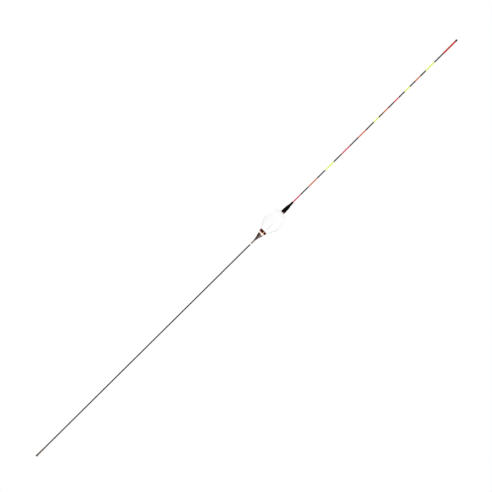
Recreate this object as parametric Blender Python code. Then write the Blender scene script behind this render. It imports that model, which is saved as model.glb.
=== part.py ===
"""Slim fishing float with a stout pearl body, a carbon foot and a push-in tail.

Every piece is turned about the float's own axis, which is world +Z. The origin is
the centre of the flat face at the bottom of the foot, and +Z runs up to the tail's tip.
"""
import math

import bmesh
import bpy

MM = 0.001

# Facets round the axis. Every piece has the same number, in line with its
# neighbours, so that a piece inside another keeps an even gap all the way round.
SEGMENTS = 24

# Gap between glued or seated pieces, and the push-in tail's own radial clearance.
GLUE_GAP = 0.04 * MM
PUSH_FIT_GAP = 0.08 * MM

# Foot: a round carbon rod with a small cap and a varnished winding at its end.
FOOT_RADIUS = 0.65 * MM
FOOT_CAP_LENGTH = 3.0 * MM
FOOT_CAP_RADIUS = 0.98 * MM
FOOT_CAP_FLOOR = 0.9 * MM
FOOT_CAP_ROUND = 0.3 * MM
FOOT_END_WINDING_LENGTH = 6.65 * MM
FOOT_END_WINDING_RADIUS = 0.86 * MM
FOOT_FREE_LENGTH = 291.2 * MM
FOOT_ROOT_LENGTH = 8.0 * MM

# Transition from the foot to the body, from the bottom up. The cone widens evenly
# over part of its rise and flares over the rest of it.
PALE_BAND_LENGTH = 1.3 * MM
PALE_BAND_RADIUS = 0.76 * MM
FOOT_WINDING_LENGTH = 5.05 * MM
FOOT_WINDING_RADII = (0.79 * MM, 0.90 * MM)
CONE_LENGTH = 8.45 * MM
CONE_TOP_RADIUS = 2.95 * MM
CONE_EVEN_SHARE = 0.55
GOLD_BAND_LENGTH = 1.95 * MM
GOLD_BAND_RADIUS = 3.15 * MM
GOLD_BAND_ROUND = 0.25 * MM
LOWER_COLLAR_LENGTH = 2.7 * MM
LOWER_COLLAR_RADIUS = 3.95 * MM
LOWER_COLLAR_ROUND = 0.5 * MM
TENON_LENGTH = 11.0 * MM

# Body: a superellipse above its widest station, cut flat a little short of its full
# height, and below it a flank that draws in along a quarter of a cosine wave.
BODY_RADIUS = 10.45 * MM
BODY_UPPER_HEIGHT = 10.9 * MM
BODY_UPPER_SEMI_AXIS = 11.2 * MM
BODY_SHOULDER_POWER = 2.4
BODY_LOWER_HEIGHT = 15.2 * MM
BODY_LOWER_RADIUS = 4.8 * MM
BODY_FLANK_POWER = 1.1
BODY_BOTTOM_CHAMFER = 0.3 * MM

# Core tube through the body, and the socket that takes the tail's spigot.
CORE_OUTER_RADIUS = 2.2 * MM
CORE_WALL = 0.4 * MM
SOCKET_DEPTH = 16.6 * MM
SOCKET_FLOOR = 1.0 * MM
UPPER_COLLAR_LENGTH = 1.1 * MM
UPPER_COLLAR_RADIUS = 2.35 * MM
UPPER_COLLAR_ROUND = 0.28 * MM

# Ferrule of the tail: a gentle taper, a shoulder, a neck and a rounded tip.
SPIGOT_LENGTH = 16.0 * MM
SPIGOT_RADIUS = 1.22 * MM
SPIGOT_CHAMFER = 0.3 * MM
FERRULE_HEIGHT = 13.7 * MM
FERRULE_BASE_RADIUS = 2.17 * MM
FERRULE_SHOULDER_RADIUS = 1.97 * MM
FERRULE_SHOULDER_HEIGHT = 5.7 * MM
FERRULE_NECK_RADIUS = 1.20 * MM
FERRULE_NECK_HEIGHT = 10.1 * MM
FERRULE_LIP_RADIUS = 1.05 * MM
FERRULE_TIP_RADIUS = 0.85 * MM
FERRULE_TIP_ROUND = 1.0 * MM

# Tail rod with its painted marks, and the thicker sight sleeve and bead on top.
TAIL_ROOT_RADIUS = 0.65 * MM
TAIL_TOP_RADIUS = 0.70 * MM
TAIL_FREE_LENGTH = 211.2 * MM
TAIL_ROOT_LENGTH = 24.0 * MM
SLEEVE_LENGTH = 17.6 * MM
SLEEVE_RADIUS = 0.92 * MM
SLEEVE_EDGE = 0.1 * MM
BEAD_LENGTH = 2.4 * MM
BEAD_RADIUS = 1.0 * MM
BEAD_EQUATOR_HEIGHT = 1.0 * MM
BEAD_PEG_LENGTH = 0.6 * MM

# Points along each curved stretch of the profiles.
BODY_STATIONS = 11
CONE_STATIONS = 8
SHOULDER_STATIONS = 6
RIM_STATIONS = 3
BULGE_STATIONS = 8

# Stations along the axis, worked out from the lengths above.
CAP_TOP = FOOT_CAP_LENGTH
END_WINDING_TOP = CAP_TOP + FOOT_END_WINDING_LENGTH
PALE_BAND_BASE = END_WINDING_TOP + FOOT_FREE_LENGTH
WINDING_BASE = PALE_BAND_BASE + PALE_BAND_LENGTH
CONE_BASE = WINDING_BASE + FOOT_WINDING_LENGTH
GOLD_BAND_BASE = CONE_BASE + CONE_LENGTH
LOWER_COLLAR_BASE = GOLD_BAND_BASE + GOLD_BAND_LENGTH
BODY_BASE = LOWER_COLLAR_BASE + LOWER_COLLAR_LENGTH
BODY_WIDEST = BODY_BASE + BODY_LOWER_HEIGHT
BODY_TOP = BODY_WIDEST + BODY_UPPER_HEIGHT
FERRULE_BASE = BODY_TOP + UPPER_COLLAR_LENGTH
FERRULE_TOP = FERRULE_BASE + FERRULE_HEIGHT
SLEEVE_BASE = FERRULE_TOP + TAIL_FREE_LENGTH
BEAD_BASE = SLEEVE_BASE + SLEEVE_LENGTH

# Radii that follow from a neighbour's.
CORE_INNER_RADIUS = CORE_OUTER_RADIUS - CORE_WALL
TENON_RADIUS = CORE_INNER_RADIUS - GLUE_GAP
SOCKET_OUTER_RADIUS = CORE_INNER_RADIUS - GLUE_GAP
SOCKET_BORE_RADIUS = SPIGOT_RADIUS + PUSH_FIT_GAP
FOOT_BORE_RADIUS = FOOT_RADIUS + GLUE_GAP

# Base colour, roughness and metallic of each finish.
FINISHES = {
    "pearl_lacquer": ((0.93, 0.93, 0.94), 0.22, 0.0),
    "carbon_rod": ((0.035, 0.035, 0.038), 0.35, 0.0),
    "moulded_black": ((0.012, 0.012, 0.013), 0.30, 0.0),
    "brown_lacquer": ((0.055, 0.018, 0.010), 0.16, 0.0),
    "gold_trim": ((0.85, 0.74, 0.55), 0.30, 0.60),
    "tan_thread": ((0.33, 0.21, 0.12), 0.40, 0.0),
    "pale_paint": ((0.80, 0.77, 0.70), 0.45, 0.0),
    "painted_tail": ((0.76, 0.86, 0.14), 0.35, 0.0),
    "fluoro_red": ((0.64, 0.04, 0.04), 0.38, 0.0),
    "glass_tube": ((0.72, 0.76, 0.70), 0.35, 0.0),
    "socket_plastic": ((0.16, 0.16, 0.17), 0.45, 0.0),
}


def clear_scene():
    """Remove every object, so that the file starts empty."""
    for item in list(bpy.data.objects):
        bpy.data.objects.remove(item, do_unlink=True)


def finish(name):
    """Return the named finish as a material, made on first use."""
    if name in bpy.data.materials:
        return bpy.data.materials[name]
    colour, roughness, metallic = FINISHES[name]
    material = bpy.data.materials.new(name)
    material.use_nodes = True
    shader = material.node_tree.nodes["Principled BSDF"]
    shader.inputs["Base Color"].default_value = (*colour, 1.0)
    shader.inputs["Roughness"].default_value = roughness
    shader.inputs["Metallic"].default_value = metallic
    return material


def frame(name, height):
    """Add an empty on the float's axis, for the pieces of one body to hang on."""
    empty = bpy.data.objects.new(name, None)
    empty.location.z = height
    bpy.context.collection.objects.link(empty)
    return empty


def turned(name, profile, material, base, parent):
    """Turn a profile of (radius, height) points about +Z into one closed piece.

    The heights count from base, the world height of the object's origin. A
    profile that starts and ends on the axis makes a solid, and any other is
    joined from its last point to its first and makes a ring or a tube.
    """
    mesh = bpy.data.meshes.new(name)
    build = bmesh.new()
    points = [build.verts.new((radius, 0.0, height)) for radius, height in profile]
    edges = [build.edges.new(pair) for pair in zip(points, points[1:])]
    if profile[0][0] > 0.0:
        edges.append(build.edges.new((points[-1], points[0])))
    bmesh.ops.spin(
        build,
        geom=points + edges,
        axis=(0.0, 0.0, 1.0),
        cent=(0.0, 0.0, 0.0),
        angle=2.0 * math.pi,
        steps=SEGMENTS,
        use_merge=True,
    )
    bmesh.ops.remove_doubles(build, verts=build.verts, dist=0.001 * MM)
    bmesh.ops.recalc_face_normals(build, faces=build.faces)
    build.to_mesh(mesh)
    build.free()
    mesh.materials.append(finish(material))
    mesh.shade_smooth()
    mesh.set_sharp_from_angle(angle=math.radians(35.0))
    piece = bpy.data.objects.new(name, mesh)
    bpy.context.collection.objects.link(piece)
    piece.parent = parent
    piece.location.z = base - parent.location.z
    return piece


def tube(name, length, outer, inner, material, base, parent):
    """Turn a straight ring or tube, with a glue gap left at its upper end."""
    top = length - GLUE_GAP
    profile = [(outer, 0.0), (outer, top), (inner, top), (inner, 0.0)]
    return turned(name, profile, material, base, parent)


def arc(centre, radii, start, end, steps):
    """Points of an ellipse's arc in the (radius, height) plane, angles in degrees."""
    points = []
    for step in range(steps + 1):
        angle = math.radians(start + (end - start) * step / steps)
        radius = centre[0] + radii[0] * math.cos(angle)
        points.append((radius, centre[1] + radii[1] * math.sin(angle)))
    return points


def ease(value):
    """Smooth step from 0 to 1 with level ends."""
    return value * value * (3.0 - 2.0 * value)


def body_radius(height):
    """Outer radius of the body at a height above or below its widest station."""
    if height >= 0.0:
        rest = 1.0 - (height / BODY_UPPER_SEMI_AXIS) ** BODY_SHOULDER_POWER
        return BODY_RADIUS * rest ** (1.0 / BODY_SHOULDER_POWER)
    wave = math.cos(0.5 * math.pi * height / BODY_LOWER_HEIGHT)
    return BODY_LOWER_RADIUS + (BODY_RADIUS - BODY_LOWER_RADIUS) * wave ** BODY_FLANK_POWER


def make_float_body(parent):
    """Pearl body with a bore right through it for the core tube."""
    chamfer_top = BODY_BOTTOM_CHAMFER - BODY_LOWER_HEIGHT
    heights = [chamfer_top * (1.0 - step / BODY_STATIONS) for step in range(BODY_STATIONS)]
    for step in range(BODY_STATIONS + 1):
        heights.append(BODY_UPPER_HEIGHT * math.sin(0.5 * math.pi * step / BODY_STATIONS))
    outline = [(body_radius(chamfer_top) - BODY_BOTTOM_CHAMFER, -BODY_LOWER_HEIGHT)]
    outline += [(body_radius(height), height) for height in heights]
    bore = CORE_OUTER_RADIUS + GLUE_GAP
    outline += [(bore, BODY_UPPER_HEIGHT), (bore, -BODY_LOWER_HEIGHT)]
    return turned("float_body", outline, "pearl_lacquer", BODY_WIDEST, parent)


def make_core_tube(parent):
    """Glass-fibre tube that runs through the body from collar to collar."""
    length = BODY_TOP - BODY_BASE - GLUE_GAP
    return tube(
        "core_tube", length, CORE_OUTER_RADIUS, CORE_INNER_RADIUS,
        "glass_tube", BODY_BASE + GLUE_GAP, parent,
    )


def make_tail_socket(parent):
    """Blind liner in the top of the core tube, which the tail's spigot goes into."""
    profile = [
        (0.0, -SOCKET_DEPTH - SOCKET_FLOOR),
        (SOCKET_OUTER_RADIUS, -SOCKET_DEPTH - SOCKET_FLOOR),
        (SOCKET_OUTER_RADIUS, -GLUE_GAP),
        (SOCKET_BORE_RADIUS, -GLUE_GAP),
        (SOCKET_BORE_RADIUS, -SOCKET_DEPTH),
        (0.0, -SOCKET_DEPTH),
    ]
    return turned("tail_socket", profile, "socket_plastic", BODY_TOP, parent)


def make_upper_collar(parent):
    """Thin lacquered ring on top of the body, which the ferrule seats on."""
    edge = UPPER_COLLAR_ROUND
    across = UPPER_COLLAR_RADIUS - edge
    top = UPPER_COLLAR_LENGTH - GLUE_GAP
    profile = [(SOCKET_BORE_RADIUS, GLUE_GAP)]
    profile += arc((across, GLUE_GAP + edge), (edge, edge), -90, 0, RIM_STATIONS)
    profile += arc((across, top - edge), (edge, edge), 0, 90, RIM_STATIONS)
    profile.append((SOCKET_BORE_RADIUS, top))
    return turned("upper_collar", profile, "brown_lacquer", BODY_TOP, parent)


def bulged_ring(name, length, outer, edge, material, base, parent):
    """Turn a ring whose outside bulges by edge, with a glue gap at each end."""
    middle = length / 2
    half = middle - GLUE_GAP
    bore = CORE_INNER_RADIUS
    profile = [(bore, middle - half)]
    profile += arc((outer - edge, middle), (edge, half), -90, 90, BULGE_STATIONS)
    profile.append((bore, middle + half))
    return turned(name, profile, material, base, parent)


def make_lower_collar(parent):
    """Lacquered ring under the body, slightly rounded on its outside."""
    return bulged_ring(
        "lower_collar", LOWER_COLLAR_LENGTH, LOWER_COLLAR_RADIUS, LOWER_COLLAR_ROUND,
        "brown_lacquer", LOWER_COLLAR_BASE, parent,
    )


def make_gold_band(parent):
    """Narrow gold ring between the lower collar and the cone."""
    return bulged_ring(
        "gold_band", GOLD_BAND_LENGTH, GOLD_BAND_RADIUS, GOLD_BAND_ROUND,
        "gold_trim", GOLD_BAND_BASE, parent,
    )


def cone_radius(share):
    """Outer radius of the cone, from its thin end at 0 to its wide end at 1."""
    thin = FOOT_WINDING_RADII[1]
    flare = CONE_EVEN_SHARE + (1.0 - CONE_EVEN_SHARE) * ease(share)
    return thin + (CONE_TOP_RADIUS - thin) * flare * share


def make_foot_cone(parent):
    """Cone that grips the foot, with a tenon glued up into the core tube."""
    profile = [(FOOT_BORE_RADIUS, 0.0)]
    for step in range(CONE_STATIONS + 1):
        share = step / CONE_STATIONS
        profile.append((cone_radius(share), share * (CONE_LENGTH - GLUE_GAP)))
    tenon_top = CONE_LENGTH + TENON_LENGTH
    profile += [
        (TENON_RADIUS, CONE_LENGTH - GLUE_GAP),
        (TENON_RADIUS, tenon_top),
        (FOOT_BORE_RADIUS, tenon_top),
    ]
    return turned("foot_cone", profile, "brown_lacquer", CONE_BASE, parent)


def make_foot_winding(parent):
    """Varnished thread winding that runs the cone down onto the foot."""
    lower, upper = FOOT_WINDING_RADII
    top = FOOT_WINDING_LENGTH - GLUE_GAP
    profile = [
        (FOOT_BORE_RADIUS, 0.0),
        (lower, 0.0),
        (upper, top),
        (FOOT_BORE_RADIUS, top),
    ]
    return turned("foot_winding", profile, "tan_thread", WINDING_BASE, parent)


def make_pale_band(parent):
    """Short pale ring that closes the winding."""
    return tube(
        "pale_band", PALE_BAND_LENGTH, PALE_BAND_RADIUS, FOOT_BORE_RADIUS,
        "pale_paint", PALE_BAND_BASE, parent,
    )


def make_foot_rod(parent):
    """Carbon foot, from inside its end cap to its glued root inside the cone."""
    base = FOOT_CAP_FLOOR + GLUE_GAP
    length = BODY_BASE + FOOT_ROOT_LENGTH - base
    profile = [(0.0, 0.0), (FOOT_RADIUS, 0.0), (FOOT_RADIUS, length), (0.0, length)]
    return turned("foot_rod", profile, "carbon_rod", base, parent)


def make_foot_end_winding(parent):
    """Varnished thread winding next to the foot's end cap."""
    return tube(
        "foot_end_winding", FOOT_END_WINDING_LENGTH, FOOT_END_WINDING_RADIUS,
        FOOT_BORE_RADIUS, "tan_thread", CAP_TOP, parent,
    )


def make_foot_end_cap(parent):
    """Cap on the foot's end: flat underneath, rounded, with a blind bore from above."""
    edge = FOOT_CAP_ROUND
    top = FOOT_CAP_LENGTH - GLUE_GAP
    profile = [(0.0, 0.0)]
    profile += arc((FOOT_CAP_RADIUS - edge, edge), (edge, edge), -90, 0, RIM_STATIONS)
    profile += [
        (FOOT_CAP_RADIUS, top - edge),
        (FOOT_END_WINDING_RADIUS, top),
        (FOOT_BORE_RADIUS, top),
        (FOOT_BORE_RADIUS, FOOT_CAP_FLOOR),
        (0.0, FOOT_CAP_FLOOR),
    ]
    return turned("foot_end_cap", profile, "carbon_rod", 0.0, parent)


def between(first, last, share):
    """The value at a share of the way from first to last."""
    return first + (last - first) * share


def ferrule_shoulder():
    """Points of the eased shoulder, from the end of the taper to the neck."""
    points = []
    for step in range(SHOULDER_STATIONS + 1):
        share = step / SHOULDER_STATIONS
        radius = between(FERRULE_SHOULDER_RADIUS, FERRULE_NECK_RADIUS, ease(share))
        points.append((radius, between(FERRULE_SHOULDER_HEIGHT, FERRULE_NECK_HEIGHT, share)))
    return points


def make_tail_ferrule(parent):
    """Bottle-shaped ferrule: a spigot for the socket and a bore for the tail rod."""
    bore = TAIL_ROOT_RADIUS + GLUE_GAP
    bore_end = FERRULE_HEIGHT - TAIL_ROOT_LENGTH - GLUE_GAP
    profile = [
        (0.0, -SPIGOT_LENGTH),
        (SPIGOT_RADIUS - SPIGOT_CHAMFER, -SPIGOT_LENGTH),
        (SPIGOT_RADIUS, SPIGOT_CHAMFER - SPIGOT_LENGTH),
        (SPIGOT_RADIUS, 0.0),
        (FERRULE_BASE_RADIUS, 0.0),
    ]
    profile += ferrule_shoulder()
    profile += arc(
        (FERRULE_TIP_RADIUS, FERRULE_HEIGHT - FERRULE_TIP_ROUND),
        (FERRULE_LIP_RADIUS - FERRULE_TIP_RADIUS, FERRULE_TIP_ROUND), 0, 90, RIM_STATIONS,
    )
    profile += [(bore, FERRULE_HEIGHT), (bore, bore_end), (0.0, bore_end)]
    return turned("tail_ferrule", profile, "moulded_black", FERRULE_BASE, parent)


def make_tail_rod(parent):
    """Solid tail rod, a little thicker towards its top, from ferrule to sight sleeve."""
    free_top = TAIL_ROOT_LENGTH + TAIL_FREE_LENGTH
    top = free_top + SLEEVE_LENGTH - BEAD_PEG_LENGTH - GLUE_GAP
    profile = [
        (0.0, 0.0),
        (TAIL_ROOT_RADIUS, 0.0),
        (TAIL_ROOT_RADIUS, TAIL_ROOT_LENGTH),
        (TAIL_TOP_RADIUS, free_top),
        (TAIL_TOP_RADIUS, top),
        (0.0, top),
    ]
    return turned("tail_rod", profile, "painted_tail", FERRULE_TOP - TAIL_ROOT_LENGTH, parent)


def make_sight_sleeve(parent):
    """Thicker red sleeve over the top of the tail rod."""
    bore = TAIL_TOP_RADIUS + GLUE_GAP
    top = SLEEVE_LENGTH - GLUE_GAP
    profile = [
        (bore, 0.0),
        (SLEEVE_RADIUS - SLEEVE_EDGE, 0.0),
        (SLEEVE_RADIUS, SLEEVE_EDGE),
        (SLEEVE_RADIUS, top),
        (bore, top),
    ]
    return turned("sight_sleeve", profile, "fluoro_red", SLEEVE_BASE, parent)


def make_tip_bead(parent):
    """Rounded bead at the very top, with a peg glued into the sleeve."""
    peg = TAIL_TOP_RADIUS
    profile = [(0.0, -BEAD_PEG_LENGTH), (peg, -BEAD_PEG_LENGTH), (peg, 0.0)]
    low = BEAD_EQUATOR_HEIGHT / 2
    profile += arc((SLEEVE_RADIUS, low), (BEAD_RADIUS - SLEEVE_RADIUS, low), -90, 0, RIM_STATIONS)
    crown = BEAD_LENGTH - BEAD_EQUATOR_HEIGHT
    crown_points = arc((0.0, BEAD_EQUATOR_HEIGHT), (BEAD_RADIUS, crown), 0, 90, BULGE_STATIONS)
    profile += crown_points[:-1]
    profile.append((0.0, BEAD_LENGTH))
    return turned("tip_bead", profile, "moulded_black", BEAD_BASE, parent)


def main():
    """Build the float's body and foot, then the tail that pulls out of it."""
    clear_scene()
    float_frame = frame("float_frame", 0.0)
    make_foot_end_cap(float_frame)
    make_foot_end_winding(float_frame)
    make_foot_rod(float_frame)
    make_pale_band(float_frame)
    make_foot_winding(float_frame)
    make_foot_cone(float_frame)
    make_gold_band(float_frame)
    make_lower_collar(float_frame)
    make_float_body(float_frame)
    make_core_tube(float_frame)
    make_tail_socket(float_frame)
    make_upper_collar(float_frame)

    # The tail slides along +Z out of the socket, from its seat on the upper collar.
    tail_frame = frame("tail_frame", FERRULE_BASE)
    make_tail_ferrule(tail_frame)
    make_tail_rod(tail_frame)
    make_sight_sleeve(tail_frame)
    make_tip_bead(tail_frame)


main()
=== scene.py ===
"""Looks of a slim fishing float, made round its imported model.

Laid out as an add-on and run as a script: each operator makes one piece or one group
of like pieces, and the stage operator adds the floor, the lights and the camera.
"""

import math

import bpy
import numpy as np
from mathutils import Matrix, Vector


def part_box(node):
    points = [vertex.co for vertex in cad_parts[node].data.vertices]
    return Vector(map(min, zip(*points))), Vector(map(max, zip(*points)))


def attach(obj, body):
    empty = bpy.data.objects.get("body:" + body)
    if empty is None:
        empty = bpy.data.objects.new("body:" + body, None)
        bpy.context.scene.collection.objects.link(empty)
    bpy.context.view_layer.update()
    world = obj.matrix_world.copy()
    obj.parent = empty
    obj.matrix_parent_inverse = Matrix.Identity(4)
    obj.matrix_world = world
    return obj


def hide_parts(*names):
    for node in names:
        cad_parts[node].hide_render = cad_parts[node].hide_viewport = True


bl_info = {
    "name": "Fishing Float",
    "version": (1, 0, 0),
    "blender": (4, 5, 0),
    "location": "3D View > Sidebar > Float",
    "description": "Makes the finished pieces of a fishing float round its packed model",
    "category": "Add Mesh",
}

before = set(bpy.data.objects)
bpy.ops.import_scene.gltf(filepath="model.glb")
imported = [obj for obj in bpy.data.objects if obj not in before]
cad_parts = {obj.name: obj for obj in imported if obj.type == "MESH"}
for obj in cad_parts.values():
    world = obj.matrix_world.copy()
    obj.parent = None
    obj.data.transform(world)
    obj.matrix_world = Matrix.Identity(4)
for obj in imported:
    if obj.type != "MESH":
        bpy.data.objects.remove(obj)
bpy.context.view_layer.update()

MM = 0.001
FLOAT = "float"
TAIL = "tail"
SIDES = 96
SMALL_SIDES = 64
THIN_SIDES = 40
GLUE_GAP = 0.04 * MM
ROUND_STEPS = 5
SHARP_RADIUS = 0.12 * MM
SHARP_ANGLE = math.radians(40.0)


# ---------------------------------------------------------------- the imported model


def span(node):
    """Lowest and highest z of a node."""
    low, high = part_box(node)
    return low.z, high.z


def radius_of(node):
    """Largest radius of a turned node."""
    low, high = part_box(node)
    return (high.x - low.x) / 2


def ring_radii(node, height, reach=0.02 * MM):
    """Smallest and largest radius among a node's corners near one height."""
    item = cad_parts[node]
    places = np.empty(len(item.data.vertices) * 3, np.float32)
    item.data.vertices.foreach_get("co", places)
    places = places.reshape(-1, 3)
    near = places[np.abs(places[:, 2] - height) < reach]
    radii = np.hypot(near[:, 0], near[:, 1])
    return float(radii.min()), float(radii.max())


def extents(node):
    """Lowest and highest z of a node, its largest radius and its bore at the top."""
    low, high = span(node)
    return low, high, radius_of(node), ring_radii(node, high)[0]


# ---------------------------------------------------------------- outlines


def filleted(corners):
    """Outline through corners, each (radius, height, fillet), as an (n, 2) array.

    A corner with a fillet becomes a circular arc that touches both of its sides: it
    starts fillet * tan(turn / 2) before the corner, and its centre lies on the
    corner's bisector. Short of each arc, a point keeps the straight part's shading.
    """
    places = np.array([corner[:2] for corner in corners], float)
    parts = []
    last = len(corners) - 1
    for index, (here, corner) in enumerate(zip(places, corners)):
        if index in (0, last) or not corner[2]:
            parts.append(here[None])
            continue
        back = places[index - 1] - here
        ahead = places[index + 1] - here
        back_length, ahead_length = np.hypot(*back), np.hypot(*ahead)
        back, ahead = back / back_length, ahead / ahead_length
        half = math.acos(float(np.clip(back @ ahead, -1.0, 1.0))) / 2
        reach = min(corner[2] / math.tan(half), 0.45 * back_length, 0.45 * ahead_length)
        centre = here + (back + ahead) / np.hypot(*(back + ahead)) * reach / math.cos(half)
        first, final = here + back * reach - centre, here + ahead * reach - centre
        turn = math.atan2(first[0] * final[1] - first[1] * final[0], first @ final)
        angles = np.linspace(0.0, turn, ROUND_STEPS + 1)
        cosine, sine = np.cos(angles), np.sin(angles)
        arc = np.stack(
            [first[0] * cosine - first[1] * sine, first[0] * sine + first[1] * cosine], 1
        )
        guard = 1.1 * reach
        parts += [(here + back * guard)[None], centre + arc, (here + ahead * guard)[None]]
    return np.concatenate(parts)


def ease(share):
    """Smooth step from 0 to 1 with level ends, for arrays."""
    share = np.clip(share, 0.0, 1.0)
    return share * share * (3.0 - 2.0 * share)


def sharpness(outline, looped):
    """How sharply an outline turns outwards at each point, from 0 to 1.

    The turn between the sides before and after a point, where it is to the left
    seen along the outline, divided by the sides' mean length, then squashed.
    """
    if looped:
        before = outline - np.roll(outline, 1, 0)
        after = np.roll(outline, -1, 0) - outline
    else:
        before = np.diff(outline, axis=0, prepend=outline[:1])
        after = np.diff(outline, axis=0, append=outline[-1:])
    cross = before[:, 0] * after[:, 1] - before[:, 1] * after[:, 0]
    dot = (before * after).sum(1)
    length = (np.hypot(*before.T) + np.hypot(*after.T)) / 2 + 1e-9
    bend = np.clip(np.arctan2(cross, dot), 0.0, None) / length
    return 1.0 - np.exp(-bend * SHARP_RADIUS)


# ---------------------------------------------------------------- meshes


def corner_uv(corners):
    """Map places of all faces, from the (across, along) arrays of each of their corners."""
    pairs = [np.stack(np.broadcast_arrays(*corner), -1) for corner in corners]
    return np.stack(pairs, -2).reshape(-1, 2)


def mesh_from_grid(name, grid, looped, materials, face_rows=None, edge=None):
    """Make an object from a grid of points: rows along the piece, columns round it.

    The columns always close on themselves. A looped grid also joins its last row to
    its first. Any other has all the points of its first and last rows at one place,
    which becomes a pole with a fan of triangles. face_rows gives each row of faces
    its material, and edge is a value for each row, kept as the attribute "edge".
    """
    rows, sides = grid.shape[:2]
    column = np.arange(sides)
    following = (column + 1) % sides
    if looped:
        number = np.arange(rows * sides).reshape(rows, sides)
        lower, upper = number, np.roll(number, -1, 0)
        places = grid.reshape(-1, 3)
    else:
        inner = np.arange((rows - 2) * sides).reshape(rows - 2, sides) + 1
        lower, upper = inner[:-1], inner[1:]
        places = np.concatenate([grid[0, :1], grid[1:-1].reshape(-1, 3), grid[-1, :1]])
    quads = np.stack([lower, lower[:, following], upper[:, following], upper], -1)
    faces = quads.reshape(-1, 4).tolist()
    left = column / sides
    right = left + 1.0 / sides
    along = np.linspace(0.0, 1.0, rows + looped)
    low, high = (along[:-1], along[1:]) if looped else (along[1:-2], along[2:-1])
    low, high = low[:, None], high[:, None]
    uv = corner_uv([(left, low), (right, low), (right, high), (left, high)])
    if not looped:
        top = len(places) - 1
        middle = (left + right) / 2
        first = np.stack([np.zeros_like(column), inner[0][following], inner[0]], 1)
        final = np.stack([inner[-1], inner[-1][following], np.full_like(column, top)], 1)
        faces = first.tolist() + faces + final.tolist()
        foot = corner_uv([(middle, 0.0), (right, along[1]), (left, along[1])])
        head = corner_uv([(left, along[-2]), (right, along[-2]), (middle, 1.0)])
        uv = np.concatenate([foot, uv, head])
    mesh = bpy.data.meshes.new(name)
    mesh.from_pydata(places.tolist(), [], faces)
    layer = mesh.uv_layers.new(name="Turned")
    layer.data.foreach_set("uv", uv.astype(np.float32).ravel())
    if edge is not None:
        # A pole is one point.
        repeats = np.full(rows, sides)
        if not looped:
            repeats[[0, -1]] = 1
        values = np.repeat(edge, repeats)
        attribute = mesh.attributes.new("edge", "FLOAT", "POINT")
        attribute.data.foreach_set("value", values.astype(np.float32))
    for material in materials:
        mesh.materials.append(material)
    if face_rows is not None:
        slots = np.repeat(face_rows, sides).astype(np.int32)
        mesh.polygons.foreach_set("material_index", slots)
    mesh.validate()
    mesh.shade_smooth()
    mesh.set_sharp_from_angle(angle=SHARP_ANGLE)
    item = bpy.data.objects.new(name, mesh)
    bpy.context.collection.objects.link(item)
    return item


def turned(name, outline, materials, sides=SIDES, looped=False, face_rows=None, shape=None):
    """Turn an outline about +Z.

    Point (i, j) is (r cos a, r sin a, z) with r and z from the outline's point i and
    a = 2 pi j / sides. The outline runs up the outside, so that faces point outwards.
    shape(r, z, a) may return changed radii, to add what isn't round.
    """
    angle = 2.0 * math.pi * np.arange(sides) / sides
    radius = np.repeat(outline[:, :1], sides, 1)
    height = np.repeat(outline[:, 1:], sides, 1)
    if shape is not None:
        radius = shape(radius, height, angle[None])
    grid = np.stack([radius * np.cos(angle), radius * np.sin(angle), height], -1)
    edge = sharpness(outline, looped)
    return mesh_from_grid(name, grid, looped, materials, face_rows, edge)


def sleeve(side, bore):
    """Close a side, from the bottom up, down a bore."""
    return np.concatenate([[(bore, side[0, 1])], side, [(bore, side[-1, 1])]])


def ring(name, source, material, edges, draw_in=0.0, sides=SIDES):
    """A ring in the place of a node, its top drawn in a little.

    edges are the fillets of its outer bottom, outer top and inner top corners.
    """
    low, high, outer, bore = extents(source)
    corners = [
        (bore, low, 0.0), (outer, low, edges[0]), (outer - draw_in, high, edges[1]),
        (bore, high, edges[2]), (bore, low, 0.0),
    ]
    return turned(name, filleted(corners)[:-1], [material], sides=sides, looped=True)


def settle(piece, body, slot, *nodes):
    """Let a finished piece ride on a body, in the place of its nodes."""
    if nodes:
        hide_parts(*nodes)
    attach(piece, body)
    return piece


# ---------------------------------------------------------------- shader helpers


def new_material(name):
    """An empty material with a Principled shader, as (material, tree, shader)."""
    material = bpy.data.materials.new(name)
    material.use_nodes = True
    tree = material.node_tree
    return material, tree, tree.nodes["Principled BSDF"]


def node(tree, kind, **values):
    """Add a node to a tree and set its properties."""
    made = tree.nodes.new(kind)
    for key, value in values.items():
        setattr(made, key, value)
    return made


def feed(tree, place, value):
    """Link a socket to an input, or set the input to a number or a colour."""
    if isinstance(value, bpy.types.NodeSocket):
        tree.links.new(value, place)
    elif isinstance(value, (int, float)):
        place.default_value = value
    else:
        place.default_value = (*value[:3], 1.0)


def maths(tree, operation, first, second, clamp=False):
    """A Math node's output. Each input is a socket or a number."""
    made = node(tree, "ShaderNodeMath", operation=operation, use_clamp=clamp)
    feed(tree, made.inputs[0], first)
    feed(tree, made.inputs[1], second)
    return made.outputs[0]


def remapped(tree, value, low, high, start=0.0, end=1.0):
    """A value taken from the range start to end onto the range low to high."""
    made = node(tree, "ShaderNodeMapRange")
    tree.links.new(value, made.inputs["Value"])
    ends = {"From Min": start, "From Max": end, "To Min": low, "To Max": high}
    for key, number in ends.items():
        made.inputs[key].default_value = number
    return made.outputs["Result"]


def mixed(tree, share, first, second):
    """A colour between two, each a colour or a socket, at a share that is a socket."""
    made = node(tree, "ShaderNodeMix", data_type="RGBA")
    for index, value in ((0, share), (6, first), (7, second)):
        feed(tree, made.inputs[index], value)
    return made.outputs[2]


def blended(tree, share, first, second):
    """A number between two, each a number or a socket, at a share that is a socket."""
    made = node(tree, "ShaderNodeMix", data_type="FLOAT")
    for index, value in ((0, share), (2, first), (3, second)):
        feed(tree, made.inputs[index], value)
    return made.outputs[0]


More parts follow.
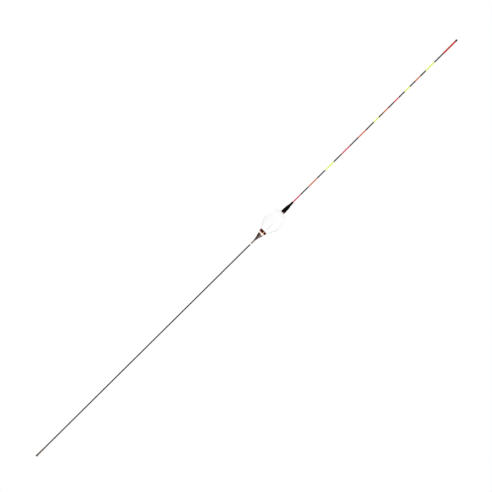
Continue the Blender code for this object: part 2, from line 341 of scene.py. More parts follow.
def bumped(tree, shader, height, distance, strength):
    """Drive a shader's normal from a height that is a socket, in metres of relief."""
    made = node(tree, "ShaderNodeBump")
    made.inputs["Strength"].default_value = strength
    made.inputs["Distance"].default_value = distance
    tree.links.new(height, made.inputs["Height"])
    tree.links.new(made.outputs["Normal"], shader.inputs["Normal"])


def group(name, inputs, outputs):
    """A new shader node group with named float or vector sockets, as (tree, in, out)."""
    tree = bpy.data.node_groups.new(name, "ShaderNodeTree")
    for label, default in inputs:
        kind = "NodeSocketVector" if label == "Vector" else "NodeSocketFloat"
        socket = tree.interface.new_socket(label, in_out="INPUT", socket_type=kind)
        if kind == "NodeSocketFloat":
            socket.default_value = default
    for label in outputs:
        tree.interface.new_socket(label, in_out="OUTPUT", socket_type="NodeSocketFloat")
    entry = node(tree, "NodeGroupInput")
    final = node(tree, "NodeGroupOutput")
    return tree, entry, final


def placed(tree, name, **values):
    """Place a node group in a material, fed with Object coordinates."""
    made = node(tree, "ShaderNodeGroup", node_tree=bpy.data.node_groups[name])
    if "Vector" in made.inputs:
        coordinates = node(tree, "ShaderNodeTexCoord")
        tree.links.new(coordinates.outputs["Object"], made.inputs["Vector"])
    for key, value in values.items():
        made.inputs[key.replace("_", " ")].default_value = value
    return made


# ---------------------------------------------------------------- shared effects


def per_metre(tree, size, factor=1.0):
    """Scale of a pattern whose cells measure size millimetres, divided by factor."""
    return maths(tree, "MULTIPLY", maths(tree, "DIVIDE", 1.0 / MM, size), factor)


def noise(tree, vector, detail, scale=1.0, **values):
    """A Noise Texture node, with a socket or a number for its scale."""
    made = node(tree, "ShaderNodeTexNoise", **values)
    if vector is not None:
        tree.links.new(vector, made.inputs["Vector"])
    feed(tree, made.inputs["Scale"], scale)
    made.inputs["Detail"].default_value = detail
    return made


def spread(tree, made, margin):
    """A noise's value with its ends cut off by a margin and the rest on 0 to 1."""
    return remapped(tree, made.outputs["Fac"], 0.0, 1.0, margin, 1.0 - margin)


def make_mottle_group():
    """Soft cloudy variation: two noises, one four times finer, added two to one."""
    tree, entry, final = group("Mottle", [("Vector", None), ("Size", 1.0)], ["Value"])
    total = None
    for factor, weight in ((1.0, 2.0 / 3.0), (4.0, 1.0 / 3.0)):
        scale = per_metre(tree, entry.outputs["Size"], factor)
        made = noise(tree, entry.outputs["Vector"], 3.0, scale)
        part = maths(tree, "MULTIPLY", made.outputs["Fac"], weight)
        total = maths(tree, "ADD", total, part) if total else part
    tree.links.new(remapped(tree, total, 0.0, 1.0, 0.3, 0.7), final.inputs["Value"])


def make_streak_group():
    """Fibres along the axis: noise on coordinates squeezed along Z, made steeper."""
    inputs = [("Vector", None), ("Width", 0.1), ("Length", 8.0)]
    tree, entry, final = group("Streaks", inputs, ["Value"])
    scale = node(tree, "ShaderNodeCombineXYZ")
    for axis, size in (("X", "Width"), ("Y", "Width"), ("Z", "Length")):
        tree.links.new(per_metre(tree, entry.outputs[size]), scale.inputs[axis])
    squeezed = node(tree, "ShaderNodeVectorMath", operation="MULTIPLY")
    tree.links.new(entry.outputs["Vector"], squeezed.inputs[0])
    tree.links.new(scale.outputs[0], squeezed.inputs[1])
    made = noise(tree, squeezed.outputs[0], 4.0)
    made.inputs["Roughness"].default_value = 0.6
    tree.links.new(spread(tree, made, 0.35), final.inputs["Value"])


def make_turning_group():
    """Fine rings left by turning and polishing: noise that changes along Z only."""
    tree, entry, final = group("Turning Rings", [("Vector", None), ("Pitch", 0.1)], ["Value"])
    apart = node(tree, "ShaderNodeSeparateXYZ")
    tree.links.new(entry.outputs["Vector"], apart.inputs[0])
    along = maths(tree, "MULTIPLY", apart.outputs["Z"], per_metre(tree, entry.outputs["Pitch"]))
    made = noise(tree, None, 2.0, noise_dimensions="1D")
    tree.links.new(along, made.inputs["W"])
    tree.links.new(spread(tree, made, 0.3), final.inputs["Value"])


def make_rub_group():
    """Where handling has rubbed: sharp edges, broken up by a fine noise."""
    inputs = [("Vector", None), ("Amount", 0.6), ("Size", 0.4)]
    tree, entry, final = group("Edge Rub", inputs, ["Mask"])
    edge = node(tree, "ShaderNodeAttribute", attribute_name="edge")
    scale = per_metre(tree, entry.outputs["Size"])
    broken = spread(tree, noise(tree, entry.outputs["Vector"], 4.0, scale), 0.38)
    worn = maths(tree, "MULTIPLY", edge.outputs["Fac"], broken)
    worn = maths(tree, "MULTIPLY", worn, entry.outputs["Amount"], clamp=True)
    tree.links.new(worn, final.inputs["Mask"])


def make_fleck_group():
    """Small flat flecks, each with its own value, between the walls of a cell pattern."""
    inputs = [("Vector", None), ("Size", 0.1)]
    tree, entry, final = group("Flecks", inputs, ["Value", "Mask"])
    cells = node(tree, "ShaderNodeTexVoronoi", feature="F1")
    tree.links.new(entry.outputs["Vector"], cells.inputs["Vector"])
    tree.links.new(per_metre(tree, entry.outputs["Size"]), cells.inputs["Scale"])
    apart = node(tree, "ShaderNodeSeparateColor")
    tree.links.new(cells.outputs["Color"], apart.inputs[0])
    tree.links.new(apart.outputs[0], final.inputs["Value"])
    tree.links.new(remapped(tree, apart.outputs[1], 0.0, 1.0, 0.72, 0.8), final.inputs["Mask"])


def make_effect_groups():
    """Build every shared effect once."""
    make_mottle_group()
    make_streak_group()
    make_turning_group()
    make_rub_group()
    make_fleck_group()


# ---------------------------------------------------------------- finishes


def darker(colour, factor):
    """A colour with its brightness multiplied."""
    return tuple(channel * factor for channel in colour[:3])


def mottle(size):
    """Soft cloudy pattern; sizes here are in millimetres."""
    return "Mottle", {"Size": size}


def streaks(width, length):
    """Pattern of fibres along the axis."""
    return "Streaks", {"Width": width, "Length": length}


def turning(pitch):
    """Pattern of fine turned rings."""
    return "Turning Rings", {"Pitch": pitch}


def rubbed(amount, size):
    """Pattern that covers the sharp edges."""
    return "Edge Rub", {"Amount": amount, "Size": size}


def finish(name, dark, light, pattern, rough, relief, skin=None, over=None, **sockets):
    """A material whose colour runs from dark to light by a pattern.

    rough is the range of the roughness, and relief the depth and the strength of the
    bump: both follow skin, or pattern where there is no skin. over is one more pattern,
    its greatest share and the colour that it brings in. Any other argument is the value
    of the shader's socket of that name.
    """
    material, tree, shader = new_material(name)
    value = placed(tree, pattern[0], **pattern[1]).outputs[0]
    base = mixed(tree, value, dark, light)
    if over:
        upper, most, colour = over
        share = placed(tree, upper[0], **upper[1]).outputs[0]
        base = mixed(tree, maths(tree, "MULTIPLY", share, most), base, colour)
    tree.links.new(base, shader.inputs["Base Color"])
    if skin:
        value = placed(tree, skin[0], **skin[1]).outputs[0]
    tree.links.new(remapped(tree, value, *rough), shader.inputs["Roughness"])
    bumped(tree, shader, value, *relief)
    for key, number in sockets.items():
        shader.inputs[key.replace("_", " ")].default_value = number
    return material


def pearl_lacquer(colour):
    """White pearl under a thick polished clear coat, with fine flecks in it."""
    material, tree, shader = new_material("pearl_lacquer")
    cloud = placed(tree, "Mottle", Size=6.0).outputs["Value"]
    base = mixed(tree, cloud, darker(colour, 0.985), colour)
    flecks = placed(tree, "Flecks", Size=0.09)
    glint = maths(tree, "MULTIPLY", flecks.outputs["Mask"], 0.25)
    tree.links.new(mixed(tree, glint, base, (0.93, 0.925, 0.915)), shader.inputs["Base Color"])
    rough = remapped(tree, flecks.outputs["Value"], 0.44, 0.52)
    tree.links.new(rough, shader.inputs["Roughness"])
    shader.inputs["Specular IOR Level"].default_value = 0.3
    shader.inputs["Coat Weight"].default_value = 0.8
    shader.inputs["Coat Roughness"].default_value = 0.04
    peel = placed(tree, "Mottle", Size=1.6).outputs["Value"]
    bumped(tree, shader, peel, 0.004 * MM, 0.35)
    return material


def brown_lacquer(colour):
    """Polished red-brown lacquer over dark wood grain, rubbed at its edges."""
    red, green, blue = colour
    return finish(
        "brown_lacquer", darker(colour, 0.5), (1.6 * red, 1.4 * green, 1.2 * blue),
        streaks(0.22, 5.0), (0.14, 0.26), (0.004 * MM, 0.5), skin=turning(0.12),
        over=(rubbed(0.3, 0.5), 1.0, (0.20, 0.05, 0.02)),
        Specular_IOR_Level=0.5, Specular_Tint=(1.0, 0.52, 0.36, 1.0),
        Coat_Weight=0.04, Coat_IOR=1.4, Coat_Roughness=0.04)


def gold_trim(colour):
    """Thin pale gold metal, finely turned, with painted shade in its grooves."""
    return finish(
        "gold_trim", darker(colour, 0.82), colour, turning(0.05), (0.26, 0.42),
        (0.008 * MM, 0.7), over=(mottle(0.8), 1.0, darker(colour, 1.12)),
        Metallic=0.25, Specular_Tint=(1.0, 0.72, 0.50, 1.0))


def bound_thread(name, colour, shade):
    """Fine thread laid turn by turn and soaked in varnish."""
    return finish(
        name, shade, colour, streaks(0.03, 0.05), (0.34, 0.52), (0.006 * MM, 0.6),
        over=(mottle(1.4), 1.0, darker(colour, 1.2)),
        Specular_IOR_Level=0.2, Coat_Weight=0.3, Coat_Roughness=0.12)


def carbon(colour):
    """Pultruded carbon rod: fine fibres along it, under a thin satin resin skin."""
    return finish(
        "carbon_rod", darker(colour, 0.6), darker(colour, 1.5), streaks(0.035, 9.0),
        (0.30, 0.48), (0.006 * MM, 0.6), over=(mottle(14.0), 0.4, darker(colour, 1.3)),
        Specular_IOR_Level=0.14)


def dipped_end(colour):
    """Dark epoxy on the end of the foot, rubbed pale on its edges."""
    return finish(
        "dipped_end", darker(colour, 0.7), darker(colour, 1.5), mottle(0.7), (0.28, 0.5),
        (0.01 * MM, 0.5), over=(rubbed(0.8, 0.3), 1.0, (0.22, 0.19, 0.15)),
        Coat_Weight=0.4, Coat_Roughness=0.15)


def moulded_black(colour):
    """Dense black moulding with a fine spark-eroded grain and slightly rubbed edges."""
    return finish(
        "moulded_black", darker(colour, 0.8), darker(colour, 1.25), mottle(0.12),
        (0.42, 0.6), (0.006 * MM, 0.6), over=(rubbed(0.5, 0.35), 1.0, (0.012, 0.011, 0.010)),
        Specular_IOR_Level=0.02)


def enamel(name, colour, tones, rough, rub, shine):
    """Enamel brushed on in turns, rubbed at its ends; rub is an amount."""
    return finish(
        name, darker(colour, tones[0]), darker(colour, tones[1]), mottle(0.9), rough,
        (0.006 * MM, 0.5), skin=turning(0.35),
        over=(rubbed(rub, 0.3), 1.0, darker(colour, 0.7)), Specular_IOR_Level=shine)


def bright_enamel(name, colour):
    """Fluorescent enamel."""
    return enamel(name, colour, (0.93, 1.04), (0.34, 0.48), 0.35, 0.25)


def plain_plastic(name, colour, rough, shine=0.5):
    """Moulded or drawn plastic with a faint cloud and a satin skin."""
    return finish(name, darker(colour, 0.9), darker(colour, 1.06), mottle(1.2), rough,
                  (0.005 * MM, 0.4), Specular_IOR_Level=shine)


def glass_fibre(colour):
    """Resin-bound glass fibre, with pale fibres along it."""
    return finish("glass_fibre", darker(colour, 0.8), colour, streaks(0.05, 6.0),
                  (0.3, 0.45), (0.006 * MM, 0.5))


# ---------------------------------------------------------------- settings


def colour_property(name, description, default):
    """A linear colour that a user may change."""
    return bpy.props.FloatVectorProperty(
        name=name, description=description, default=default,
        size=3, min=0.0, max=1.0, subtype="COLOR")


def length_property(name, description, default):
    """A length that a user may change, kept in metres."""
    return bpy.props.FloatProperty(
        name=name, description=description, default=default, min=0.0,
        precision=5, subtype="DISTANCE", unit="LENGTH")


def brightness_property(name, description, default):
    """Brightness of a part of the room, where 1 is plain white."""
    return bpy.props.FloatProperty(
        name=name, description=description, default=default, min=0.0, max=4.0)


class BodySettings(bpy.types.PropertyGroup):
    """Shape and colour of the buoyant body and what trims it."""

    pearl: colour_property("Pearl", "Colour of the lacquered body", (0.90, 0.90, 0.905))
    brown: colour_property(
        "Brown", "Colour of the collars and the cone", (0.070, 0.004, 0.002))
    gold: colour_property("Gold", "Colour of the narrow band", (0.93, 0.78, 0.64))
    hairline: colour_property(
        "Hairline", "Colour of the fine line on the body", (0.42, 0.42, 0.45))
    upper_height: length_property(
        "Upper height", "From the widest station to the flat top", 10.9 * MM)
    upper_semi_axis: length_property(
        "Upper half-axis", "Half-axis of the superellipse above the widest station", 11.2 * MM)
    shoulder_power: bpy.props.FloatProperty(
        name="Shoulder power", description="Power of the upper superellipse",
        default=2.4, min=1.0, max=6.0)
    lower_radius: length_property(
        "Lower radius", "Radius that the flank draws in to at the bottom", 4.8 * MM)
    flank_power: bpy.props.FloatProperty(
        name="Flank power", description="Power of the cosine wave that shapes the flank",
        default=1.1, min=0.5, max=3.0)
    hairline_width: length_property("Hairline width", "Width of the fine line", 0.45 * MM)
    hairline_offset: length_property(
        "Hairline offset", "How far the fine line lies from the body's middle", 1.25 * MM)


class FootSettings(bpy.types.PropertyGroup):
    """Carbon foot, its cap and its bindings."""

    carbon: colour_property("Carbon", "Colour of the foot", (0.003, 0.003, 0.003))
    cap: colour_property("Cap", "Colour of the dipped end", (0.020, 0.018, 0.015))
    tan: colour_property(
        "Tan thread", "Colour of the binding at the foot's end", (0.13, 0.085, 0.045))
    umber: colour_property(
        "Umber thread", "Colour of the binding under the cone", (0.27, 0.21, 0.17))
    pale: colour_property(
        "Pale band", "Colour of the ring that ends the binding", (0.78, 0.76, 0.69))
    thread: length_property("Thread", "Width of one turn of binding thread", 0.16 * MM)


class TailSettings(bpy.types.PropertyGroup):
    """Ferrule, painted marks and the sight on top."""

    moulding: colour_property(
        "Moulding", "Colour of the ferrule and the bead", (0.0015, 0.0015, 0.0015))
    black: colour_property("Black", "Colour of the dark marks", (0.006, 0.006, 0.007))
    yellow: colour_property("Yellow", "Colour of the yellow marks", (0.66, 0.80, 0.07))
    orange: colour_property("Orange", "Colour of the orange marks", (0.58, 0.10, 0.015))
    pink: colour_property("Pink", "Colour of the pink marks", (0.58, 0.012, 0.07))
    red: colour_property("Red", "Colour of the sight sleeve", (0.50, 0.012, 0.012))
    shoulder_height: length_property(
        "Shoulder height", "From the ferrule's seat to the end of its taper", 5.7 * MM)
    neck_height: length_property(
        "Neck height", "From the ferrule's seat to its neck", 10.1 * MM)
    lip_height: length_property(
        "Lip height", "From the ferrule's seat to where its tip is rounded", 12.7 * MM)
    paint: length_property("Paint", "Thickness of a coat of paint", 0.012 * MM)


class StageSettings(bpy.types.PropertyGroup):
    """Floor, lights and camera."""

    floor_radius: length_property("Floor radius", "Radius of the round floor", 2.2)
    front: brightness_property("Front", "Soft light from the front of the room", 1.18)
    back: brightness_property("Back", "Soft light from the back of the room", 0.84)
    floor_light: brightness_property("Floor light", "Soft light from the floor", 1.165)
    walls: brightness_property("Walls", "Brightness of the walls in reflections", 0.18)
    ceiling: brightness_property("Ceiling", "Brightness of the ceiling in reflections", 0.7)
    floor_shine: brightness_property(
        "Floor shine", "Brightness of the floor in reflections", 0.22)
    lens: bpy.props.FloatProperty(
        name="Lens", description="Focal length in millimetres", default=200.0, min=20.0)
    field: length_property("Field", "Width of the view at the float", 0.492)
    lean: bpy.props.FloatProperty(
        name="Lean", description="Angle of the float above the picture's lower edge",
        default=math.radians(44.69), subtype="ANGLE", unit="ROTATION")
    along: length_property("Along", "Height on the float at the middle of the view", 0.2969)
    across: length_property(
        "Across", "How far right of the middle the float's axis lies", 0.00184)


# ---------------------------------------------------------------- operators


class FLOAT_OT_body(bpy.types.Operator):
    """Make the pearl body and the painted dark reflection line on it"""

    bl_idname = "fishing_float.body"
    bl_label = "Body"

    def flank(self, settings, below):
        """Radius at a depth below the widest station, along a quarter of a cosine wave."""
        low, high = span("float_body")
        depth = high - settings.upper_height - low
        wave = np.cos(0.5 * math.pi * np.clip(below / depth, 0.0, 1.0))
        swell = radius_of("float_body") - settings.lower_radius
        return settings.lower_radius + swell * wave ** settings.flank_power

    def outline(self, settings):
        """Radius and height up the outside and back down the bore."""
        low, high, outer, bore = extents("float_body")
        widest = high - settings.upper_height
        turn_in, bottom_edge, top_edge, bore_edge = 0.3 * MM, 0.5 * MM, 0.12 * MM, 0.06 * MM
        depths = np.linspace(widest - low - turn_in, 0.0, 60, endpoint=False)
        lower = self.flank(settings, depths)
        up = settings.upper_height * np.sin(np.linspace(0.0, 0.5 * math.pi, 60))
        rest = 1.0 - (up / settings.upper_semi_axis) ** settings.shoulder_power
        upper = outer * rest ** (1.0 / settings.shoulder_power)
        side = np.stack(
            [np.concatenate([lower, upper]), np.concatenate([-depths, up]) + widest], 1)
        foot = settings.lower_radius
        start = [(foot - 2.0 * turn_in, low, 0.0), (foot, low, turn_in),
                 (*side[0], bottom_edge), (*side[1], 0.0)]
        end = [(*side[-2], 0.0), (*side[-1], top_edge), (bore, high, bore_edge),
               (bore, low, bore_edge), (foot - 2.0 * turn_in, low, 0.0)]
        return np.concatenate([filleted(start)[:-1], side[1:-1], filleted(end)[1:-1]])

    def make_painted_reflection(self, settings, material):
        """Painted dark reflection: a fine grey line up the body from its bottom, a slab that
        follows the side.

        Point (i, j) stands at radius side(z) + lift, where z runs up the line and the
        angle across it; its section is a flat ellipse, half sunk into the lacquer, and
        its width falls to a quarter towards the top.
        """
        rows, columns = 60, 16
        bluntness, fade, proud = 40, 0.75, 0.02 * MM
        low, high = span("float_body")
        middle = high - settings.upper_height
        height = np.linspace(low + 0.4 * MM, middle + 1.5 * MM, rows)
        share = np.linspace(0.0, 1.0, rows)
        taper = np.sqrt(np.clip(1.0 - np.abs(2.0 * share - 1.0) ** bluntness, 0.0, 1.0))
        slim = taper * (1.0 - fade * ease((share - 0.35) / 0.6))
        around = 2.0 * math.pi * np.arange(columns) / columns
        radius = self.flank(settings, middle - height)
        start = math.radians(-90.0) + np.arcsin(settings.hairline_offset / radius)
        half = settings.hairline_width / 2 * slim
        angle = start[:, None] + half[:, None] * np.cos(around) / radius[:, None]
        reach = radius[:, None] + proud * taper[:, None] * np.sin(around)
        level = np.repeat(height[:, None], columns, 1)
        grid = np.stack([reach * np.cos(angle), reach * np.sin(angle), level], -1)
        return mesh_from_grid("body_painted_reflection", grid[:, ::-1], False, [material])

    def execute(self, context):
        settings = context.scene.float_body
        body = turned("pearl_body", self.outline(settings), [pearl_lacquer(settings.pearl)],
                      sides=160, looped=True)
        settle(body, FLOAT, "pearl_lacquer", "float_body")
        # The grey line is a painted dark reflection in the body's gloss, not print.
        reflection_paint = plain_plastic("painted_reflection_grey", settings.hairline, (0.45, 0.6), shine=0.05)
        settle(self.make_painted_reflection(settings, reflection_paint), FLOAT, "pearl_lacquer")
        return {"FINISHED"}


class FLOAT_OT_collars(bpy.types.Operator):
    """Make the two lacquered collars and the gold band"""

    bl_idname = "fishing_float.collars"
    bl_label = "Collars and band"

    def execute(self, context):
        settings = context.scene.float_body
        brown = brown_lacquer(settings.brown)
        gold = gold_trim(settings.gold)
        self.make_lower_collar(brown)
        self.make_upper_collar(brown)
        self.make_gold_band(gold)
        return {"FINISHED"}

    def make_lower_collar(self, material):
        """Barrel: r = outer - swell (1 - sqrt(1 - (fill v)^4)), v from -1 to 1 up it."""
        low, high, outer, bore = extents("lower_collar")
        share = np.linspace(-1.0, 1.0, 33)
        swell, fill = 0.42 * MM, 0.96
        bulge = swell * (1.0 - np.sqrt(1.0 - (fill * share) ** 4))
        height = (low + high) / 2 + share * (high - low) / 2
        side = np.stack([outer - bulge, height], 1)
        outline = sleeve(side, bore)
        piece = turned("lower_collar_lacquered", outline, [material], looped=True)
        return settle(piece, FLOAT, "brown_lacquer", "lower_collar")

    def make_upper_collar(self, material):
        """Thin ring with rounded rims."""
        edges = (0.35 * MM, 0.3 * MM, 0.08 * MM)
        piece = ring("upper_collar_lacquered", "upper_collar", material, edges, 0.12 * MM)
        return settle(piece, FLOAT, "brown_lacquer", "upper_collar")

    def make_gold_band(self, material):
        """Narrow ring of fine beads: r = outer - groove (1 - |sin(beads pi v)|^0.7)."""
        low, high, outer, bore = extents("gold_band")
        share = np.linspace(0.0, 1.0, 61)
        beads, groove = 3.0, 0.09 * MM
        wave = np.abs(np.sin(beads * math.pi * share)) ** 0.7
        radius = outer - groove * (1.0 - wave)
        side = np.stack([radius, low + share * (high - low)], 1)
        outline = sleeve(side, bore)
        piece = turned("gold_band_turned", outline, [material], looped=True)
        return settle(piece, FLOAT, "gold_trim", "gold_band")


class FLOAT_OT_cone(bpy.types.Operator):
    """Make the lacquered cone that grips the foot"""

    bl_idname = "fishing_float.cone"
    bl_label = "Cone"

    def execute(self, context):
        low, tenon_top = span("foot_cone")
        shoulder = span("gold_band")[0] - GLUE_GAP
        bore, thin = ring_radii("foot_cone", low)
        wide = radius_of("foot_cone")
        _, tenon = ring_radii("foot_cone", tenon_top)
        # The flare is partly straight and partly eased, so that it widens late.
        share = np.linspace(0.0, 1.0, 48)
        straight = 0.55
        flare = straight * share + (1.0 - straight) * ease(share) * share
        radius = thin + (wide - thin) * flare
        height = low + share * (shoulder - low)
        side = np.stack([radius, height], 1)
        rim, root, lead = 0.12 * MM, 0.05 * MM, 0.2 * MM
        end = [
            (*side[-2], 0.0), (*side[-1], rim), (tenon, shoulder, root),
            (tenon, tenon_top, lead), (bore, tenon_top, 0.0),
        ]
        outline = np.concatenate([[(bore, low)], side[:-1], filleted(end)[1:]])
        material = bpy.data.materials["brown_lacquer"]
        piece = turned("foot_cone_lacquered", outline, [material], looped=True)
        settle(piece, FLOAT, "brown_lacquer", "foot_cone")
        return {"FINISHED"}


class FLOAT_OT_bindings(bpy.types.Operator):
    """Make the two thread bindings and the pale band"""

    bl_idname = "fishing_float.bindings"
    bl_label = "Bindings"

    def make_binding(self, name, source, pitch, material):
        """Thread wound round the foot, as one closed sleeve.

        The radius is the sleeve's own, less depth * (1 - sqrt(1 - (2 f - 1)^2)), where
        f is the fraction of z / pitch - a / 2 pi: one round thread for every turn.
        """
        low, high = span(source)
        bore, lower = ring_radii(source, low)
        _, upper = ring_radii(source, high)
        rows_per_turn, run_out, depth = 8, 0.25 * MM, 0.3 * pitch
        height = np.linspace(low, high, int((high - low) / pitch) * rows_per_turn)
        share = (height - low) / (high - low)
        ends = np.clip(np.minimum(share, 1.0 - share) * (high - low) / run_out, 0.0, 1.0)
        side = np.stack([lower + (upper - lower) * share, height], 1)
        outline = sleeve(side, bore)
        inside = np.concatenate([[0.0], np.sqrt(ends), [0.0]])[:, None]

        def thread(radius, level, angle):
            turn = np.mod(level / pitch - angle / (2.0 * math.pi), 1.0)
            valley = 1.0 - np.sqrt(1.0 - (2.0 * turn - 1.0) ** 2)
            drop = depth * valley * inside + 0.3 * depth * (1.0 - inside)
            return np.where(radius > bore + 0.01 * MM, radius - drop, radius)

        return turned(name, outline, [material], sides=THIN_SIDES, looped=True, shape=thread)

    def make_pale_band(self, material):
        """Short lacquer ring with softly rounded ends."""
        edges = (0.05 * MM, 0.05 * MM, 0.0)
        piece = ring("pale_band_painted", "pale_band", material, edges, sides=THIN_SIDES)
        return settle(piece, FLOAT, "pale_paint", "pale_band")

    def execute(self, context):
        settings = context.scene.float_foot
        tan = bound_thread("tan_thread", settings.tan, darker(settings.tan, 0.55))
        umber = bound_thread("umber_thread", settings.umber, darker(settings.umber, 0.4))
        upper = self.make_binding("foot_binding", "foot_winding", settings.thread, umber)
        settle(upper, FLOAT, "tan_thread", "foot_winding")
        lower = self.make_binding("foot_end_binding", "foot_end_winding", settings.thread, tan)
        settle(lower, FLOAT, "tan_thread", "foot_end_winding")
        self.make_pale_band(plain_plastic("pale_paint", settings.pale, (0.35, 0.5)))
        return {"FINISHED"}


class FLOAT_OT_foot(bpy.types.Operator):
    """Make the carbon foot and its end cap"""

    bl_idname = "fishing_float.foot"
    bl_label = "Foot"

    def execute(self, context):
        settings = context.scene.float_foot
        low, high = span("foot_rod")
        radius = radius_of("foot_rod")
        chamfer = 0.1 * MM
        corners = [
            (0.0, low, 0.0), (radius, low, chamfer), (radius, high, chamfer), (0.0, high, 0.0),
        ]
        material = carbon(settings.carbon)
        rod = turned("carbon_foot", filleted(corners), [material], sides=THIN_SIDES)
        settle(rod, FLOAT, "carbon_rod", "foot_rod")

        low, high, outer, bore = extents("foot_end_cap")
        rim = ring_radii("foot_end_cap", high)[1]
        floor, slope = low + 0.9 * MM, 0.35 * MM
        base_edge, shoulder_edge, rim_edge = 0.3 * MM, 0.25 * MM, 0.04 * MM
        corners = [
            (0.0, low, 0.0), (outer, low, base_edge), (outer, high - slope, shoulder_edge),
            (rim, high, rim_edge), (bore, high, 0.0), (bore, floor, 0.0), (0.0, floor, 0.0),
        ]
        material = dipped_end(settings.cap)
        cap = turned("foot_end_dipped", filleted(corners), [material], sides=SMALL_SIDES)
        settle(cap, FLOAT, "carbon_rod", "foot_end_cap")
        return {"FINISHED"}


class FLOAT_OT_socket(bpy.types.Operator):
    """Make the tube through the body and the socket that takes the tail"""

    bl_idname = "fishing_float.socket"
    bl_label = "Core tube and socket"

    def execute(self, context):
        edge = 0.05 * MM
        fibre = glass_fibre((0.66, 0.70, 0.60))
        tube = ring("core_tube_drawn", "core_tube", fibre, (edge, edge, edge))
        settle(tube, FLOAT, "glass_tube", "core_tube")

        low, high, outer, bore = extents("tail_socket")
        floor = low + 1.0 * MM
        lead, mouth, corner = 0.15 * MM, 0.12 * MM, 0.1 * MM
        corners = [
            (0.0, low, 0.0), (outer, low, lead), (outer, high, edge),
            (bore, high, mouth), (bore, floor, corner), (0.0, floor, 0.0),
        ]
        plastic = plain_plastic("socket_plastic", (0.10, 0.10, 0.11), (0.38, 0.55))
        socket = turned("tail_socket_moulded", filleted(corners), [plastic])
        settle(socket, FLOAT, "socket_plastic", "tail_socket")
        return {"FINISHED"}


class FLOAT_OT_ferrule(bpy.types.Operator):
    """Make the bottle-shaped ferrule that plugs the tail into the body"""

    bl_idname = "fishing_float.ferrule"
    bl_label = "Ferrule"

    def execute(self, context):
        settings = context.scene.float_tail
        low, high = span("tail_ferrule")
        seat = span("upper_collar")[1] + GLUE_GAP
        lead, base_edge, root_edge, mouth = 0.3 * MM, 0.16 * MM, 0.04 * MM, 0.03 * MM
        spigot = ring_radii("tail_ferrule", low + lead)[1]
        base = radius_of("tail_ferrule")
        bore, tip = ring_radii("tail_ferrule", high)
        stations = [settings.shoulder_height, settings.neck_height, settings.lip_height]
        shoulder, neck, lip = [ring_radii("tail_ferrule", seat + rise)[1] for rise in stations]
        taper_end, neck_start, lip_start = stations

        height = np.linspace(0.4 * MM, lip_start, 90)
        side = np.interp(height, [0.0, taper_end], [base, shoulder])
        side += (neck - shoulder) * ease((height - taper_end) / (neck_start - taper_end))
        side += np.interp(height, [neck_start, lip_start], [0.0, lip - neck])
        side = np.stack([side, seat + height], 1)
        start = [
            (0.0, low, 0.0), (spigot, low, lead), (spigot, seat, root_edge),
            (base, seat, base_edge), (*side[0], 0.0),
        ]
        turn = np.linspace(0.0, 0.5 * math.pi, 12)
        dome = np.stack([tip + (lip - tip) * np.cos(turn),
                         seat + lip_start + (high - seat - lip_start) * np.sin(turn)], 1)
        root_end = span("tail_rod")[0] - GLUE_GAP
        end = [
            (*dome[-1], 0.0), (bore, high, mouth), (bore, root_end, 0.0), (0.0, root_end, 0.0),
        ]
        outline = np.concatenate([filleted(start)[:-1], side, dome[1:], filleted(end)[1:]])

        def seam(radius, level, angle):
            """A faint mould line on two sides of the visible part."""
            width, ridge = 0.035, 0.012 * MM
            shown = (level > seat + 0.1 * MM) & (radius > tip)
            return radius + ridge * np.exp(-((np.sin(angle) / width) ** 2)) * shown

        material = moulded_black(settings.moulding)
        piece = turned("ferrule_moulded", outline, [material], sides=144, shape=seam)
        settle(piece, TAIL, "moulded_black", "tail_ferrule")
        return {"FINISHED"}


# Marks on the tail from the sight sleeve down: colour and length in millimetres.
MARKS = (
    ("black", 12.4), ("yellow", 12.05), ("black", 7.65), ("orange", 7.0), ("black", 7.9),
    ("yellow", 7.2), ("black", 7.8), ("pink", 7.25), ("black", 7.75), ("orange", 7.1),
    ("black", 6.45), ("yellow", 7.05), ("black", 11.2), ("orange", 10.95), ("black", 11.05),
    ("pink", 12.45), ("black", 10.6), ("yellow", 12.2), ("black", 10.95), ("orange", 12.65),
    ("black", 10.45), ("pink", 11.1),
)


